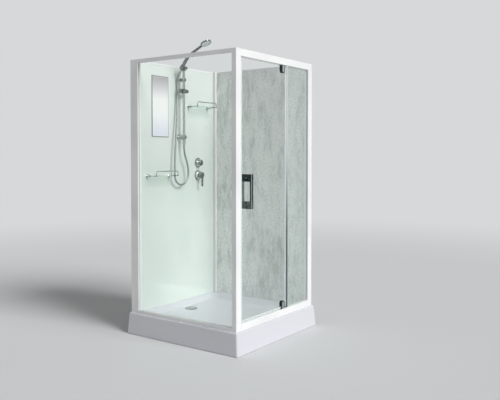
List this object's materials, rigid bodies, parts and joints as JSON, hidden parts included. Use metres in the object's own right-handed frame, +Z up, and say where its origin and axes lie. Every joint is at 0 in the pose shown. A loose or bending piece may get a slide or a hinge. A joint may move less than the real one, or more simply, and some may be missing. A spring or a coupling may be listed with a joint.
{
  "type": "shower cabin",
  "caption": "Square corner shower cabin on a low white tray, with a glass pivot door, fixed glass sides, wall panels, mirror, shelves, mixer and hand shower on a riser rail.",
  "frame": {"origin": "on the floor under the middle of the square tray", "axes": "+Z up; the door faces -Y, the fixed glass side faces -X, room walls are behind +X and +Y"},
  "size_m": [1, 1, 2.1612],
  "materials": {
    "white_acrylic": "glossy moulded acrylic",
    "galvanised_steel": "galvanised",
    "black_plastic": "moulded",
    "black_rubber": "matt",
    "white_frame": "gloss white powder coat",
    "white_plastic": "smooth",
    "clear_glass": "clear, polished edges",
    "grey_gasket": "satin",
    "clear_seal": "translucent",
    "polished_aluminium": "polished",
    "mint_panel": "back-painted, glossy",
    "grey_green_panel": "back-painted, mottled",
    "bush_plastic": "moulded",
    "chrome": "bright chrome",
    "chromed_plastic": "chrome plated",
    "spray_rubber": "satin",
    "silver_hose": "smooth silver sheath",
    "brass": "raw",
    "mirror": "bevelled silvered glass"
  },
  "bodies": {
    "cabin": {"shower_tray": "white_acrylic", "tray_frame": "galvanised_steel", "tray_feet": "black_plastic", "waste_trap": "black_plastic", "waste_seal": "black_rubber", "corner_post": "white_frame", "left_post": "white_frame", "left_wall_channel": "white_frame", "right_post": "white_frame", "right_wall_channel": "white_frame", "rear_corner_profile": "white_frame", "left_top_rail": "white_frame", "left_bottom_rail": "white_frame", "front_top_rail": "white_frame", "front_bottom_rail": "white_frame", "panel_top_trims": "white_frame", "rail_infills": "white_plastic", "post_caps": "white_plastic", "left_glass": "clear_glass", "fixed_glass": "clear_glass", "shelf_glasses": "clear_glass", "glazing_gaskets": "grey_gasket", "strike_seal": "clear_seal", "fixed_edge_profile": "polished_aluminium", "rear_panel": "mint_panel", "right_panel": "grey_green_panel", "pivot_bushes": "bush_plastic", "waste_flange": "chrome", "shelf_brackets": "chrome", "shelf_guards": "chrome", "riser_rail": "chrome", "rail_wall_bracket": "chrome", "hose_outlet": "chrome", "hose_bottom_nut": "chrome", "valve_plates": "chrome", "holder_base": "chromed_plastic", "shower_hose": "silver_hose", "valve_block": "brass", "outlet_pipe": "brass", "mirror": "mirror"},
    "door": {"door_glass": "clear_glass", "magnet_seal": "clear_seal", "hinge_seal": "clear_seal", "drip_seal": "clear_seal", "upper_pivot_clamp": "chrome", "lower_pivot_clamp": "chrome", "clamp_screws": "chrome", "outer_handle": "chrome", "inner_handle": "chrome", "handle_washers": "bush_plastic"},
    "slider": {"slider_clamp": "chromed_plastic"},
    "slider_knob": {"slider_knob": "chromed_plastic"},
    "hand_shower": {"holder_cradle": "chromed_plastic", "handset": "chromed_plastic", "spray_face": "spray_rubber", "hose_top_nut": "chrome"},
    "mixer_stem": {"mixer_stem": "chrome"},
    "mixer_lever": {"mixer_lever": "chrome"},
    "diverter": {"diverter_knob": "chrome"},
    "waste_cover": {"waste_cover": "chrome"}
  },
  "joints": [
    {"name": "door_swing", "type": "hinge", "parent": "cabin", "child": "door", "pos_m": [0.106, -0.445, 0.205], "axis": [0, 0, 1], "range_deg": [0, 95]},
    {"name": "slider_slide", "type": "slide", "parent": "cabin", "child": "slider", "axis": [0, 0, 1], "range_m": [-0.32, 0.055]},
    {"name": "slider_knob_turn", "type": "hinge", "parent": "slider", "child": "slider_knob", "pos_m": [0.018, 0.405, 1.798], "axis": [1, 0, 0], "range_deg": [0, 180]},
    {"name": "holder_tilt", "type": "hinge", "parent": "cabin", "child": "hand_shower", "pos_m": [-0.022, 0.385, 1.976], "axis": [1, 0, 0], "range_deg": [-15, 20], "deforming": ["shower_hose"]},
    {"name": "mixer_temperature", "type": "hinge", "parent": "cabin", "child": "mixer_stem", "pos_m": [0.244, 0.455, 1.138], "axis": [0, 1, 0], "range_deg": [-45, 45]},
    {"name": "mixer_flow", "type": "hinge", "parent": "mixer_stem", "child": "mixer_lever", "pos_m": [0.244, 0.418, 1.138], "axis": [-1, 0, 0], "range_deg": [0, 18]},
    {"name": "diverter_turn", "type": "hinge", "parent": "cabin", "child": "diverter", "pos_m": [0.244, 0.455, 1.239], "axis": [0, 1, 0], "range_deg": [-90, 90]},
    {"name": "waste_cover_lift", "type": "slide", "parent": "cabin", "child": "waste_cover", "axis": [0, 0, 1], "range_m": [0, 0.04]}
  ]
}
